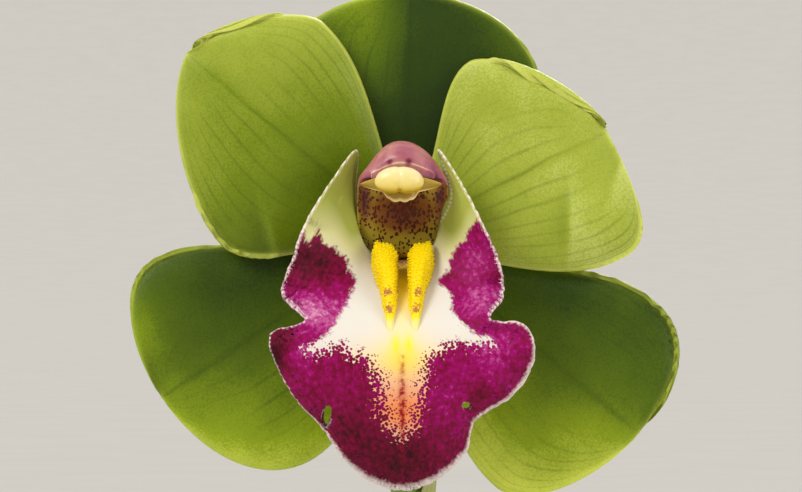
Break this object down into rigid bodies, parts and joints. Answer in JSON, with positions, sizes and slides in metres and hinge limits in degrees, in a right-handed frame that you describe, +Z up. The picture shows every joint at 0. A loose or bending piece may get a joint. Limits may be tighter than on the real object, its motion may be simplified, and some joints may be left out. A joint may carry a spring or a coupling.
{
  "type": "potted orchid",
  "caption": "Potted boat orchid with an open green bloom, a magenta and white lip, strap leaves and pseudobulbs in a plain clay pot.",
  "frame": {"origin": "centre of the pot's flat underside", "axes": "+Z up; -Y is the side that the bloom faces; +X to the right as the bloom is seen from its front"},
  "size_m": [0.3511, 0.2737, 0.4269],
  "materials": {
    "terracotta": "unglazed fired clay, matt",
    "bark": "rough chipped bark, matt",
    "pseudobulb_skin": "smooth waxy green skin",
    "leaf_blade": "glossy strap leaf",
    "spike_green": "smooth green stalk",
    "bract_sheath": "dry papery sheath",
    "petal_green": "waxy yellow-green petal",
    "sepal_green": "waxy green sepal",
    "lip_tissue": "white lip blotched magenta, satin",
    "column_tissue": "pink back and maroon-spotted face",
    "anther_yellow": "pale yellow, satin"
  },
  "bodies": {
    "root": {"pot": "terracotta", "bark_mix": "bark", "pseudobulb_1": "pseudobulb_skin", "pseudobulb_2": "pseudobulb_skin", "pseudobulb_3": "pseudobulb_skin", "pseudobulb_4": "pseudobulb_skin", "leaf_1": "leaf_blade", "leaf_2": "leaf_blade", "leaf_3": "leaf_blade", "leaf_4": "leaf_blade", "leaf_5": "leaf_blade", "leaf_6": "leaf_blade", "leaf_7": "leaf_blade", "leaf_8": "leaf_blade", "leaf_9": "leaf_blade", "leaf_10": "leaf_blade", "flower_spike": "spike_green", "spike_bract_1": "bract_sheath", "spike_bract_2": "bract_sheath", "spike_bract_3": "bract_sheath", "spike_bract_4": "bract_sheath", "ovary_and_pedicel": "spike_green", "dorsal_sepal": "sepal_green", "lateral_sepal_left": "sepal_green", "lateral_sepal_right": "sepal_green", "petal_left": "petal_green", "petal_right": "petal_green", "lip": "lip_tissue", "column": "column_tissue", "anther_cap": "anther_yellow"}
  },
  "joints": []
}
